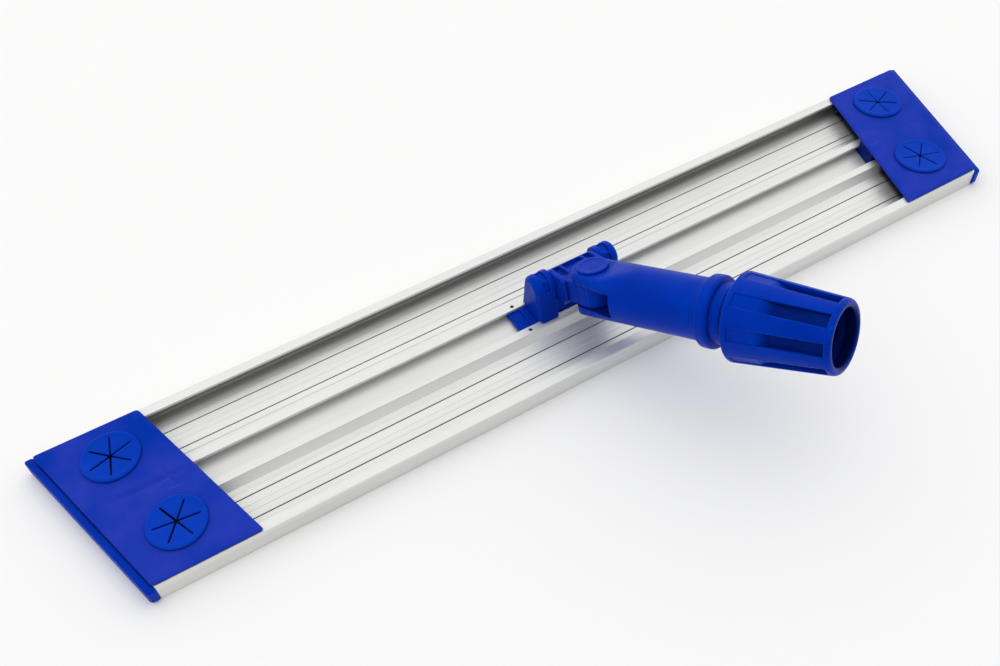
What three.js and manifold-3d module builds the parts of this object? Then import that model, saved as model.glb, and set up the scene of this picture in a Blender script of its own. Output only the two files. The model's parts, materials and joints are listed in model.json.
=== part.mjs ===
// Flat mop frame, 60 cm, with a universal joint and a clamping socket for a handle.
// Millimetres. +X runs along the frame, +Y towards its longer back edge, +Z up.
// The origin is the centre of the underside, on the floor.
import * as THREE from 'three';
import { mergeVertices } from 'three/addons/utils/BufferGeometryUtils.js';
import Module from 'manifold-3d';

const wasm = await Module();
wasm.setup();

// ---- driving dimensions ------------------------------------------------------------------

// Air left between two pieces that rest on each other.
const GAP = 0.3;
// Radial play of a pin that turns in its bore.
const RUNNING = 0.1;

// Aluminium profile: a trapezium seen from above, its back edge longer than its front edge.
const FRAME_WIDTH = 105;
const HALF_LENGTH = 282.5;
const END_SLANT = 0.294;
const FLOOR_TOP = 2.0;
const RAISED_TOP = 2.6;
const RIM_HEIGHT = 11.6;
const RIM_WALL = 1.6;
const RIM_LIP_IN = 46.3;
const LIP_THICK = 1.8;
const RAIL_HEIGHT = 7.6;
const SLOT_HALF = 7.75;
const RAIL_TOP_OUT = 12.75;
const RAIL_FOOT_OUT = 15.6;
const CHANNEL_HALF = 11.3;
const CHANNEL_FLOOR = 1.9;
const STRIP_IN = 20.5;
const STRIP_WIDTH = 20;
const STRIP_THICK = 1.0;

// Plastic ends: a bar across each end and a grip plate on top of the rims.
const BAR_THICK = 5.0;
const BAR_HEIGHT = 10.8;
const BAR_HALF_WIDTH = 53.5;
const PLATE_LENGTH = 56.4;
const PLATE_INSET = 0.2;
const PLATE_HALF_WIDTH = 51.7;
const PLATE_BOTTOM = RIM_HEIGHT + GAP;
const PLATE_TOP = 13.8;
const GRIP_HOLE_R = 13.3;
const GRIP_R = 15.7;
const GRIP_TOP = 15.4;
const GRIP_BACK = { x: 263, y: 28.6 };
const GRIP_FRONT = { x: 246.4, y: -26 };
const SLITS = 6;
const SLIT_TURNS = { rightBack: 0.35, rightFront: 0.71, leftBack: 0.28, leftFront: 0.92 };

// Universal joint: tilt axis along X, swing axis across the arm, then the handle socket.
const TILT_HEIGHT = 27;
const ARM_LIFT = THREE.MathUtils.degToRad(20);
const SWING_REST = THREE.MathUtils.degToRad(23);
const ARM_LENGTH = 26;
const PIN_R = 3.0;
const EAR_IN = 15.2;
const EAR_OUT = 27.6;
const EAR_R = 8.0;
const EAR_FOOT_HALF = 10.4;
const KNUCKLE_HALF = EAR_IN - 0.4;
const TONGUE_HALF = 6.6;
const TONGUE_R = 11.3;
const FORK_SLOT_HALF = 7.0;
const FORK_TOP = 12.8;
const FORK_BOTTOM = 14.4;
const FORK_END_R = 12;
const SLOT_DEPTH = 18;
const SWING_PIN_R = 5.0;
const PIN_HEAD_R = 8.8;
const PIN_HEAD_TOP = 14.2;
const CAP_R = 8;
const CAP_THICK = 1.5;

// Socket: distances along the handle axis, measured from the swing axis.
const TUBE_R = 16.3;
const HANDLE_BORE_R = 12.7;
const BORE_BOTTOM = 38;
const STEP_R = 17.3;
const COLLAR_R = 19;
const COLLAR_START = 70;
const COLLAR_END = 76.8;
const NECK_R = 15.9;
const NECK_END = 82.4;
const THREAD_END = 104;
const THREAD_R = 15.2;
const NUT_START = 85;
const NUT_END = 139.5;
const NUT_BIG_R = 23.2;
const NUT_SMALL_R = 18.4;
const MOUTH_R = 13.7;
const MOUTH_FLARE = 1.2;
const NUT_PANELS = 8;
const PANEL_TURN = THREE.MathUtils.degToRad(11);
const COLLET_START = THREAD_END + 2;
const COLLET_LENGTH = 25;
const COLLET_WALL = 1.6;

// ---- materials ---------------------------------------------------------------------------

const finish = (color, roughness, metalness) => () =>
  new THREE.MeshStandardMaterial({ color, roughness, metalness });
const anodised = finish(0xd9dadb, 0.38, 0.9);
const bluePlastic = finish(0x1733b8, 0.42, 0);
const plateBlue = finish(0x2338b6, 0.48, 0);
const softBlue = finish(0x0f48c4, 0.55, 0);
const steel = finish(0xb9bcc0, 0.3, 1);
const hookTape = finish(0x2b2d31, 0.95, 0);

// ---- shape helpers -----------------------------------------------------------------------

// Turns a shape drawn as (Y, Z) and extruded forwards into one that runs along X.
const ALONG_X = new THREE.Matrix4().makeBasis(
  new THREE.Vector3(0, 1, 0),
  new THREE.Vector3(0, 0, 1),
  new THREE.Vector3(1, 0, 0),
);
// Turns a shape drawn as (X, Z) and extruded forwards into one that runs along -Y.
const ALONG_MINUS_Y = new THREE.Matrix4().makeBasis(
  new THREE.Vector3(1, 0, 0),
  new THREE.Vector3(0, 0, 1),
  new THREE.Vector3(0, -1, 0),
);

function solid(geometry) {
  const bare = geometry.clone();
  bare.deleteAttribute('normal');
  bare.deleteAttribute('uv');
  const welded = mergeVertices(bare, 1e-4);
  return new wasm.Manifold(new wasm.Mesh({
    numProp: 3,
    vertProperties: new Float32Array(welded.attributes.position.array),
    triVerts: new Uint32Array(welded.index.array),
  }));
}

function geometryOf(manifold) {
  const mesh = manifold.getMesh();
  const geometry = new THREE.BufferGeometry();
  geometry.setAttribute('position', new THREE.BufferAttribute(mesh.vertProperties, 3));
  geometry.setIndex(new THREE.BufferAttribute(mesh.triVerts, 1));
  const flat = geometry.toNonIndexed();
  flat.computeVertexNormals();
  return flat;
}

const union = (pieces) => pieces.reduce((whole, piece) => whole.add(piece));
const without = (body, cuts) => cuts.reduce((rest, cut) => rest.subtract(cut), body);

function prism(points, depth, matrix = new THREE.Matrix4(), start = 0) {
  const shape = points instanceof THREE.Shape ? points : new THREE.Shape(points);
  const geometry = new THREE.ExtrudeGeometry(shape, { depth, bevelEnabled: false });
  return geometry.translate(0, 0, start).applyMatrix4(matrix);
}

function block(low, high) {
  const size = high.map((value, axis) => value - low[axis]);
  const centre = high.map((value, axis) => (value + low[axis]) / 2);
  return new THREE.BoxGeometry(...size).translate(...centre);
}

function discAlongZ(radius, low, high, x = 0, y = 0, sides = 32) {
  const disc = new THREE.CylinderGeometry(radius, radius, high - low, sides);
  return disc.rotateX(Math.PI / 2).translate(x, y, (low + high) / 2);
}

function rodAlongX(radius, low, high, z = 0, sides = 32) {
  const rod = new THREE.CylinderGeometry(radius, radius, high - low, sides);
  return rod.rotateZ(Math.PI / 2).translate((low + high) / 2, 0, z);
}

// Turned about the handle axis: profile points are [radius, distance]. A profile that stays
// off the axis closes on itself.
function turned(profile, segments = 48) {
  const closed = profile[0][0] > 0 ? [...profile, profile[0]] : profile;
  const points = closed.map(([radius, along]) => new THREE.Vector2(radius, along));
  const lathe = new THREE.LatheGeometry(points, segments);
  return lathe.rotateX(Math.PI);
}

function mirrored(geometry) {
  const copy = geometry.index ? geometry.toNonIndexed() : geometry.clone();
  copy.scale(-1, 1, 1);
  const position = copy.attributes.position;
  const corner = new THREE.Vector3();
  const other = new THREE.Vector3();
  for (let i = 0; i < position.count; i += 3) {
    corner.fromBufferAttribute(position, i + 1);
    other.fromBufferAttribute(position, i + 2);
    position.setXYZ(i + 1, other.x, other.y, other.z);
    position.setXYZ(i + 2, corner.x, corner.y, corner.z);
  }
  copy.computeVertexNormals();
  return copy;
}

// Leans every point along X in proportion to its Y, as the frame's slanted ends do.
function slanted(geometry) {
  const position = geometry.attributes.position;
  for (let i = 0; i < position.count; i += 1) {
    position.setX(i, position.getX(i) + END_SLANT * position.getY(i));
  }
  geometry.computeVertexNormals();
  return geometry;
}

// A closed outline whose corners are arcs.
function roundedOutline(corners, radius) {
  const shape = new THREE.Shape();
  const count = corners.length;
  corners.forEach(([x, y], i) => {
    const here = new THREE.Vector2(x, y);
    const before = new THREE.Vector2(...corners[(i + count - 1) % count]);
    const after = new THREE.Vector2(...corners[(i + 1) % count]);
    const into = before.sub(here).setLength(radius).add(here);
    const out = after.sub(here).setLength(radius).add(here);
    if (i === 0) {
      shape.moveTo(into.x, into.y);
    } else {
      shape.lineTo(into.x, into.y);
    }
    shape.quadraticCurveTo(x, y, out.x, out.y);
  });
  shape.closePath();
  return shape;
}

function node(name, geometry, material) {
  const mesh = new THREE.Mesh(geometry, material());
  mesh.name = name;
  return mesh;
}

// ---- aluminium profile and what lies in its underside ---------------------------------------

// One half of the section, from the middle of the underside round to the middle of the channel.
function halfSection() {
  const half = FRAME_WIDTH / 2;
  const lipUnder = RIM_HEIGHT - LIP_THICK;
  const stripTop = STRIP_THICK + GAP;
  const line = (y) => [
    [y + 0.3, RAISED_TOP],
    [y, RAISED_TOP - 0.5],
    [y - 0.3, RAISED_TOP],
  ];
  return [
    [STRIP_IN, 0],
    [STRIP_IN, stripTop],
    [STRIP_IN + STRIP_WIDTH, stripTop],
    [STRIP_IN + STRIP_WIDTH, 0],
    [half - 1, 0],
    [half, 1],
    [half, RIM_HEIGHT - 1.5],
    [half - 0.4, RIM_HEIGHT - 0.4],
    [half - 1.5, RIM_HEIGHT],
    [RIM_LIP_IN, RIM_HEIGHT],
    [RIM_LIP_IN, lipUnder],
    [half - RIM_WALL, lipUnder],
    [half - RIM_WALL, FLOOR_TOP],
    [STRIP_IN + STRIP_WIDTH + 2, FLOOR_TOP],
    [STRIP_IN + STRIP_WIDTH + 1.4, RAISED_TOP],
    ...line(37.1),
    ...line(23.3),
    [STRIP_IN - 1.1, RAISED_TOP],
    [STRIP_IN - 1.7, FLOOR_TOP],
    [RAIL_FOOT_OUT, FLOOR_TOP],
    [RAIL_TOP_OUT, RAIL_HEIGHT],
    [SLOT_HALF, RAIL_HEIGHT],
    [SLOT_HALF, RAIL_HEIGHT - LIP_THICK],
    [CHANNEL_HALF, RAIL_HEIGHT - LIP_THICK],
    [CHANNEL_HALF, CHANNEL_FLOOR],
  ];
}

// Four punch marks in the rails stake the joint's foot in place.
function punchMarks() {
  const marks = [];
  for (const x of [-34, 34]) {
    for (const y of [-10.2, 10.2]) {
      const cone = new THREE.CylinderGeometry(1.0, 0.3, 1.2, 10);
      marks.push(solid(cone.rotateX(Math.PI / 2).translate(x, y, RAIL_HEIGHT)));
    }
  }
  return marks;
}

// A section drawn as (Y, Z), run along the frame and cut off square to the slanted ends.
function frameLength(points, endInset) {
  const shape = new THREE.Shape(points.map(([y, z]) => new THREE.Vector2(y, z)));
  const run = prism(shape, 2, ALONG_X, -1);
  const position = run.attributes.position;
  for (let i = 0; i < position.count; i += 1) {
    const end = HALF_LENGTH - endInset + END_SLANT * position.getY(i);
    position.setX(i, Math.sign(position.getX(i)) * end);
  }
  run.computeVertexNormals();
  return run;
}

function frameExtrusion() {
  const right = halfSection();
  const left = right.map(([y, z]) => [-y, z]).reverse();
  const profile = frameLength([...right, ...left], 0);
  return node('frame_extrusion', geometryOf(without(solid(profile), punchMarks())), anodised);
}

// Hook tape that the mop cloth sticks to, flush with the underside.
function hookStrip(name, side) {
  const inner = STRIP_IN + GAP;
  const outer = STRIP_IN + STRIP_WIDTH - GAP;
  const [low, high] = side > 0 ? [inner, outer] : [-outer, -inner];
  const section = [[low, 0], [high, 0], [high, STRIP_THICK], [low, STRIP_THICK]];
  return node(name, frameLength(section, 5), hookTape);
}

// ---- plastic ends, built on the right and mirrored to the left ------------------------------

// A bar closes the end of the profile; its three plugs reach into the hollow of the profile.
function endCapGeometry() {
  const start = HALF_LENGTH + GAP;
  const outline = roundedOutline([
    [start, 0.4],
    [start + BAR_THICK, 0.4],
    [start + BAR_THICK, BAR_HEIGHT],
    [start, BAR_HEIGHT],
  ], 1.3);
  const bevel = 0.9;
  const barShape = new THREE.ExtrudeGeometry(outline, {
    depth: 2 * (BAR_HALF_WIDTH - bevel),
    bevelThickness: bevel,
    bevelSize: bevel,
    bevelOffset: -bevel,
    bevelSegments: 2,
    curveSegments: 3,
  });
  barShape.translate(0, 0, -BAR_HALF_WIDTH + bevel).applyMatrix4(ALONG_MINUS_Y);
  const wallIn = FRAME_WIDTH / 2 - RIM_WALL - GAP;
  const plug = (low, high) => block(
    [start - 16, low, FLOOR_TOP + GAP],
    [start + 1, high, RIM_HEIGHT - LIP_THICK - GAP],
  );
  const key = block(
    [start - 12, -CHANNEL_HALF + GAP, CHANNEL_FLOOR + GAP],
    [start + 1, CHANNEL_HALF - GAP, RAIL_HEIGHT - LIP_THICK - GAP],
  );
  const pieces = [barShape, plug(wallIn - 6, wallIn), plug(-wallIn, -wallIn + 6), key];
  return geometryOf(union(pieces.map((piece) => solid(slanted(piece)))));
}

// The grip plate lies on both rims. Two hooked rails hold it under the rim lips and a
// tongue runs in the middle channel.
function gripPlateGeometry() {
  const outer = HALF_LENGTH - PLATE_INSET;
  const inner = outer - PLATE_LENGTH;
  const bevel = 0.6;
  const edge = (x, y) => [x + END_SLANT * y, y];
  const outline = roundedOutline([
    edge(inner, -PLATE_HALF_WIDTH),
    edge(outer, -PLATE_HALF_WIDTH),
    edge(outer, PLATE_HALF_WIDTH),
    edge(inner, PLATE_HALF_WIDTH),
  ], 3);
  const plate = new THREE.ExtrudeGeometry(outline, {
    depth: PLATE_TOP - PLATE_BOTTOM - 2 * bevel,
    bevelThickness: bevel,
    bevelSize: bevel,
    bevelOffset: -bevel,
    bevelSegments: 2,
    curveSegments: 4,
  });
  plate.translate(0, 0, PLATE_BOTTOM + bevel);
  const lipUnder = RIM_HEIGHT - LIP_THICK - GAP;
  const railIn = RIM_LIP_IN - GAP - 2.4;
  const hookRail = (side) => prism([
    [side * railIn, PLATE_BOTTOM + 0.5],
    [side * railIn, lipUnder - 2],
    [side * (RIM_LIP_IN + 3.2), lipUnder - 2],
    [side * (RIM_LIP_IN + 3.2), lipUnder],
    [side * (RIM_LIP_IN - GAP), lipUnder],
    [side * (RIM_LIP_IN - GAP), PLATE_BOTTOM + 0.5],
  ].map(([y, z]) => new THREE.Vector2(y, z)), 34, ALONG_X, inner + 2);
  const slotHalf = SLOT_HALF - GAP;
  const keyHalf = CHANNEL_HALF - GAP;
  const keyTop = RAIL_HEIGHT - LIP_THICK - GAP;
  const tongue = prism([
    [-slotHalf, PLATE_BOTTOM + 0.5],
    [-slotHalf, keyTop],
    [-keyHalf, keyTop],
    [-keyHalf, CHANNEL_FLOOR + GAP],
    [keyHalf, CHANNEL_FLOOR + GAP],
    [keyHalf, keyTop],
    [slotHalf, keyTop],
    [slotHalf, PLATE_BOTTOM + 0.5],
  ].map(([y, z]) => new THREE.Vector2(y, z)), 40, ALONG_X, inner + 0.5);
  const under = [hookRail(1), hookRail(-1), tongue];
  const whole = union([solid(plate), ...under.map((piece) => solid(slanted(piece)))]);
  const holes = [GRIP_BACK, GRIP_FRONT].map(({ x, y }) =>
    solid(discAlongZ(GRIP_HOLE_R, RIM_HEIGHT - 4, GRIP_TOP, x, y, 40)));
  return geometryOf(without(whole, holes));
}

// A soft disc with radial slits: a corner of the cloth is pushed in and its petals hold it.
function starGripGeometry(turn) {
  const neck = GRIP_HOLE_R - GAP;
  const seat = PLATE_TOP + GAP;
  const barb = PLATE_BOTTOM - GAP;
  const membrane = GRIP_TOP - 2.4;
  const disc = new THREE.LatheGeometry([
    [0, membrane],
    [neck - 1.8, membrane],
    [neck - 1.8, barb - 1.3],
    [neck + 0.5, barb - 1.3],
    [neck + 1.2, barb],
    [neck, barb],
    [neck, seat],
    [GRIP_R, seat],
    [GRIP_R - 0.1, GRIP_TOP - 0.7],
    [GRIP_R - 0.7, GRIP_TOP - 0.15],
    [GRIP_R - 1.6, GRIP_TOP],
    [0, GRIP_TOP],
  ].map(([r, z]) => new THREE.Vector2(r, z)), 36).rotateX(Math.PI / 2);
  const slitLong = 0.8 * GRIP_R;
  const slitHalf = 0.45;
  const cuts = [solid(discAlongZ(1.2, 0, 20, 0, 0, 12))];
  for (let i = 0; i < SLITS; i += 1) {
    const slit = block([0, -slitHalf, 0], [slitLong, slitHalf, 20]);
    cuts.push(solid(slit.rotateZ(turn + (i * 2 * Math.PI) / SLITS)));
  }
  return geometryOf(without(solid(disc), cuts));
}

function starGrip(name, centre, side, turn) {
  const grip = node(name, starGripGeometry(turn), softBlue);
  grip.position.set(side * centre.x, centre.y, 0);
  return grip;
}

// ---- foot of the universal joint ------------------------------------------------------------

// One ear, drawn as (Y, Z): straight sides that run up into a round top about the tilt axis.
function earOutline(radius, footHalf, base) {
  const shape = new THREE.Shape();
  const lean = Math.asin((footHalf - radius) / (TILT_HEIGHT - base));
  shape.moveTo(-footHalf, base);
  shape.lineTo(footHalf, base);
  shape.absarc(0, TILT_HEIGHT, radius, lean, Math.PI - lean, false);
  shape.closePath();
  return shape;
}

function jointFoot() {
  const slideHalf = CHANNEL_HALF - GAP;
  const slideTop = RAIL_HEIGHT - LIP_THICK - GAP;
  const neckHalf = SLOT_HALF - GAP;
  const seat = RAIL_HEIGHT + GAP;
  const pieces = [
    block([-40.4, -slideHalf, CHANNEL_FLOOR + GAP], [40.4, slideHalf, slideTop]),
    block([-31, -neckHalf, slideTop - 1], [31, neckHalf, slideTop + 1.2]),
    block([-EAR_OUT + 0.5, -neckHalf, slideTop], [EAR_OUT - 0.5, neckHalf, seat + 0.8]),
  ];
  const chamfer = 1.6;
  const cuts = [];
  for (const side of [-1, 1]) {
    const start = side > 0 ? EAR_IN : -EAR_OUT + chamfer;
    const length = EAR_OUT - EAR_IN - chamfer;
    const earShape = earOutline(EAR_R, EAR_FOOT_HALF, seat);
    pieces.push(prism(earShape, length, ALONG_X, start));
    const face = new THREE.ExtrudeGeometry(earOutline(EAR_R, EAR_FOOT_HALF, seat), {
      depth: 1,
      bevelThickness: chamfer,
      bevelSize: chamfer,
      bevelOffset: -chamfer,
      bevelSegments: 1,
    });
    const centre = side * (EAR_OUT - chamfer - 0.5);
    pieces.push(face.translate(0, 0, centre - 0.5).applyMatrix4(ALONG_X));
    const boreEnd = EAR_OUT - 4;
    const [low, high] = side > 0 ? [0, boreEnd] : [-boreEnd, 0];
    cuts.push(rodAlongX(PIN_R + RUNNING, low, high, TILT_HEIGHT));
    const notch = side * (EAR_IN + 5.5);
    cuts.push(block([notch - 2, -12, TILT_HEIGHT + EAR_R - 1.4], [notch + 2, 12, TILT_HEIGHT + 20]));
  }
  return node('joint_foot', geometryOf(without(union(pieces.map(solid)), cuts.map(solid))), bluePlastic);
}

function tiltPin() {
  const half = EAR_OUT - 4 - GAP;
  return node('tilt_pin', rodAlongX(PIN_R, -half, half, TILT_HEIGHT), steel);
}

// ---- knuckle: tilts about X, carries the swing axis at the end of its tongue ----------------

function knuckle() {
  const swingSweep = 16.4;
  const barrelR = 6.2;
  const side = [
    [3.5, 4.6],
    [-1.5, 7.4],
    [-20, TONGUE_HALF],
    [-20, -TONGUE_HALF],
    [-16, -TONGUE_HALF],
    [-12, -10.5],
    [-6, -10.5],
    [2, -5.6],
  ].map(([y, z]) => new THREE.Vector2(y, z));
  const flank = solid(prism(side, 2 * KNUCKLE_HALF, ALONG_X, -KNUCKLE_HALF));
  const barrel = solid(rodAlongX(barrelR, -KNUCKLE_HALF, KNUCKLE_HALF));
  const sweep = solid(discAlongZ(swingSweep, -20, 20, 0, -ARM_LENGTH, 48));
  const plan = new THREE.Shape();
  plan.moveTo(KNUCKLE_HALF, 0);
  plan.lineTo(-KNUCKLE_HALF, 0);
  plan.lineTo(-KNUCKLE_HALF, -11);
  plan.lineTo(-TONGUE_R, -ARM_LENGTH + 2);
  plan.absarc(0, -ARM_LENGTH, TONGUE_R, Math.PI, 2 * Math.PI, false);
  plan.lineTo(TONGUE_R, -ARM_LENGTH + 2);
  plan.lineTo(KNUCKLE_HALF, -11);
  plan.closePath();
  const tongue = solid(prism(plan, 2 * TONGUE_HALF, new THREE.Matrix4(), -TONGUE_HALF));
  const body = union([flank.subtract(sweep), barrel, tongue]);
  const cuts = [
    rodAlongX(PIN_R + RUNNING, -20, 20),
    discAlongZ(SWING_PIN_R + RUNNING, -20, 20, 0, -ARM_LENGTH, 32),
  ];
  // Three pockets in the top, parted by two thin ribs.
  for (const [low, high] of [[-12.2, -7.7], [-6.3, 6.3], [7.7, 12.2]]) {
    cuts.push(block([low, -12, 4.4], [high, 0.5, 12]));
  }
  return node('knuckle', geometryOf(without(body, cuts.map(solid))), bluePlastic);
}

// ---- socket: the fork, the tube, the neck with its thread -----------------------------------

function forkPlan() {
  const shape = new THREE.Shape();
  const tubeEnd = THREAD_END + 10;
  shape.moveTo(-40, -tubeEnd);
  shape.lineTo(40, -tubeEnd);
  shape.lineTo(40, -18);
  shape.lineTo(TUBE_R, -18);
  shape.lineTo(FORK_END_R + 0.4, -5);
  shape.absarc(0, 0, FORK_END_R, 0, Math.PI, false);
  shape.lineTo(-FORK_END_R - 0.4, -5);
  shape.lineTo(-TUBE_R, -18);
  shape.lineTo(-40, -18);
  shape.closePath();
  return shape;
}

function socketBody() {
  const tube = turned([
    [0, -TUBE_R],
    [TUBE_R, -TUBE_R],
    [TUBE_R, COLLAR_START - 2.5],
    [STEP_R, COLLAR_START - 2],
    [STEP_R, COLLAR_START],
    [COLLAR_R - 0.8, COLLAR_START],
    [COLLAR_R, COLLAR_START + 0.8],
    [COLLAR_R, COLLAR_END - 1.2],
    [COLLAR_R - 1, COLLAR_END],
    [NECK_R, COLLAR_END],
    [NECK_R, NECK_END],
    [THREAD_R, NECK_END + 0.6],
    [THREAD_R, THREAD_END - 1],
    [THREAD_R - 0.8, THREAD_END],
    [HANDLE_BORE_R, THREAD_END],
    [HANDLE_BORE_R, BORE_BOTTOM],
    [0, BORE_BOTTOM],
  ]);
  const plan = prism(forkPlan(), 60, new THREE.Matrix4(), -30);
  const padCut = (flat, away) => prism([
    [30, flat],
    [-10, flat],
    [-26, Math.sign(away) * (TUBE_R + 0.1)],
    [-26, away],
    [30, away],
  ].map(([y, z]) => new THREE.Vector2(y, z)), 80, ALONG_X, -40);
  const capTop = -FORK_BOTTOM + CAP_THICK + GAP;
  const capSeat = discAlongZ(CAP_R + GAP, -FORK_BOTTOM - 1, capTop, 0, 0, 40);
  const slot = block([-40, -SLOT_DEPTH, -FORK_SLOT_HALF], [40, 40, FORK_SLOT_HALF]);
  const pinBore = discAlongZ(SWING_PIN_R + GAP, -30, 30);
  const pads = [padCut(FORK_TOP, 30), padCut(-FORK_BOTTOM, -30)];
  const cuts = [...pads, slot, pinBore, capSeat].map(solid);
  const body = without(solid(tube).intersect(solid(plan)), cuts);
  return node('socket_body', geometryOf(body), bluePlastic);
}

function swingPin() {
  const shaft = discAlongZ(SWING_PIN_R, -FORK_BOTTOM + CAP_THICK + GAP, FORK_TOP + 0.6);
  const head = new THREE.LatheGeometry([
    [0, FORK_TOP + GAP],
    [PIN_HEAD_R, FORK_TOP + GAP],
    [PIN_HEAD_R, PIN_HEAD_TOP - 0.4],
    [PIN_HEAD_R - 0.5, PIN_HEAD_TOP],
    [0, PIN_HEAD_TOP],
  ].map(([r, z]) => new THREE.Vector2(r, z)), 40).rotateX(Math.PI / 2);
  return node('swing_pin', geometryOf(solid(shaft).add(solid(head))), bluePlastic);
}

function swingPinCap() {
  const cap = discAlongZ(CAP_R, -FORK_BOTTOM, -FORK_BOTTOM + CAP_THICK, 0, 0, 40);
  return node('swing_pin_cap', cap, bluePlastic);
}

// ---- clamp: a split sleeve that the nut squeezes onto the handle ----------------------------

function clampCollet() {
  const outerR = HANDLE_BORE_R + COLLET_WALL;
  const split = 0.14;
  const ring = new THREE.Shape();
  ring.absarc(0, 0, outerR, split, 2 * Math.PI - split, false);
  ring.absarc(0, 0, HANDLE_BORE_R, 2 * Math.PI - split, split, true);
  ring.closePath();
  const sleeve = new THREE.ExtrudeGeometry(ring, {
    depth: COLLET_LENGTH,
    bevelEnabled: false,
    curveSegments: 36,
  });
  sleeve.translate(0, 0, COLLET_START).applyMatrix4(ALONG_MINUS_Y);
  return node('clamp_collet', sleeve, bluePlastic);
}

// Outer radius of the nut at a distance along the handle axis.
function nutRadius(along) {
  const part = (along - NUT_START) / (NUT_END - NUT_START);
  return THREE.MathUtils.lerp(NUT_BIG_R, NUT_SMALL_R, part);
}

function gripNut() {
  const threadBore = THREAD_R + RUNNING + 0.3;
  const coneEnd = COLLET_START + COLLET_LENGTH + 2.5;
  const coneR = HANDLE_BORE_R + COLLET_WALL + 0.4;
  const shell = turned([
    [threadBore, NUT_START],
    [20.4, NUT_START],
    [20.4, NUT_START + 1.3],
    [NUT_BIG_R - 1.2, NUT_START + 1.7],
    [nutRadius(NUT_START + 4), NUT_START + 4],
    [nutRadius(NUT_END - 2.5), NUT_END - 2.5],
    [nutRadius(NUT_END) - 1.2, NUT_END],
    [MOUTH_R + MOUTH_FLARE, NUT_END],
    [MOUTH_R, NUT_END - MOUTH_FLARE],
    [MOUTH_R, coneEnd],
    [coneR, coneEnd],
    [coneR + 0.6, THREAD_END + 0.6],
    [threadBore, THREAD_END],
  ], 64);
  // Eight grip panels: shallow on the thick half, then a slope down into a deep groove.
  const deep = 3.6;
  const shallow = 0.7;
  const panelHalf = 3.6;
  const panelStart = NUT_START + 5;
  const slopeStart = NUT_START + 18.5;
  const slopeEnd = NUT_START + 25.5;
  const panelEnd = NUT_END - 3.2;
  const at = (along, depth) => new THREE.Vector2(-along, nutRadius(along) - depth);
  const panel = new THREE.Shape([
    at(panelStart, shallow),
    at(slopeStart, shallow),
    at(slopeEnd, deep),
    at(panelEnd, deep - 0.8),
    new THREE.Vector2(-panelEnd, 30),
    new THREE.Vector2(-panelStart, 30),
  ]);
  const cuts = [];
  for (let i = 0; i < NUT_PANELS; i += 1) {
    const cut = prism(panel, 2 * panelHalf, ALONG_X, -panelHalf);
    cuts.push(solid(cut.rotateY(PANEL_TURN + (i * 2 * Math.PI) / NUT_PANELS)));
  }
  return node('grip_nut', geometryOf(without(solid(shell), cuts)), bluePlastic);
}

// ---- assembly -------------------------------------------------------------------------------

const mop = new THREE.Group();
mop.name = 'flat_mop';

mop.add(frameExtrusion());
mop.add(hookStrip('hook_strip_back', 1));
mop.add(hookStrip('hook_strip_front', -1));

const endCap = endCapGeometry();
const gripPlate = gripPlateGeometry();
mop.add(node('end_cap_right', endCap, bluePlastic));
mop.add(node('end_cap_left', mirrored(endCap), bluePlastic));
mop.add(node('grip_plate_right', gripPlate, plateBlue));
mop.add(node('grip_plate_left', mirrored(gripPlate), plateBlue));
mop.add(starGrip('star_grip_right_back', GRIP_BACK, 1, SLIT_TURNS.rightBack));
mop.add(starGrip('star_grip_right_front', GRIP_FRONT, 1, SLIT_TURNS.rightFront));
mop.add(starGrip('star_grip_left_back', GRIP_BACK, -1, SLIT_TURNS.leftBack));
mop.add(starGrip('star_grip_left_front', GRIP_FRONT, -1, SLIT_TURNS.leftFront));

mop.add(jointFoot());
mop.add(tiltPin());

// The arm rests leaning over the front edge, lifted off the horizontal.
const arm = new THREE.Group();
arm.position.set(0, 0, TILT_HEIGHT);
arm.rotation.x = -ARM_LIFT;
arm.add(knuckle());
mop.add(arm);

// The socket swings about the pin in the knuckle's tongue.
const socket = new THREE.Group();
socket.position.set(0, -ARM_LENGTH, 0);
socket.rotation.z = SWING_REST;
socket.add(socketBody(), swingPin(), swingPinCap(), clampCollet(), gripNut());
arm.add(socket);

export default mop;
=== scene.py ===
import json
import math
import random

import bmesh
import bpy
import numpy as np
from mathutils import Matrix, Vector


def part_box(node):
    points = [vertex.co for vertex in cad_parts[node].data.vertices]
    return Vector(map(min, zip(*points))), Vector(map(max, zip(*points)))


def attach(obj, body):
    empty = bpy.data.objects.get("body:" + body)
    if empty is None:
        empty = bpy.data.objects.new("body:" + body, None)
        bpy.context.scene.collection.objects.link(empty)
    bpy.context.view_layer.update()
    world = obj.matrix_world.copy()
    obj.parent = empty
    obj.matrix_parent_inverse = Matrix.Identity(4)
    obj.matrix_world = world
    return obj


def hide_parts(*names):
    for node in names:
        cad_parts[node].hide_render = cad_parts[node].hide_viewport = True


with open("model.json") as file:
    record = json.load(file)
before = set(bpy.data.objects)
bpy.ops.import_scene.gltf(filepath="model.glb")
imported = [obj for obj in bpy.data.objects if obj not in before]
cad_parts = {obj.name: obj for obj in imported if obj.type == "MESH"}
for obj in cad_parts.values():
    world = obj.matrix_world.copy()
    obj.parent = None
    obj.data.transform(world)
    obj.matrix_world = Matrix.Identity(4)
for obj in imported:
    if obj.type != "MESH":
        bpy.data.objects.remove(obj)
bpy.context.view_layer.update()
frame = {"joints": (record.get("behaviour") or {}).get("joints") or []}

import openvdb
from mathutils import Matrix, Vector

MM = 0.001
COARSE = 1.0
chance = random.Random(7)

# ---- frames of reference ----------------------------------------------------------------------

JOINTS = {joint["name"]: joint for joint in frame["joints"]}


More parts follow.
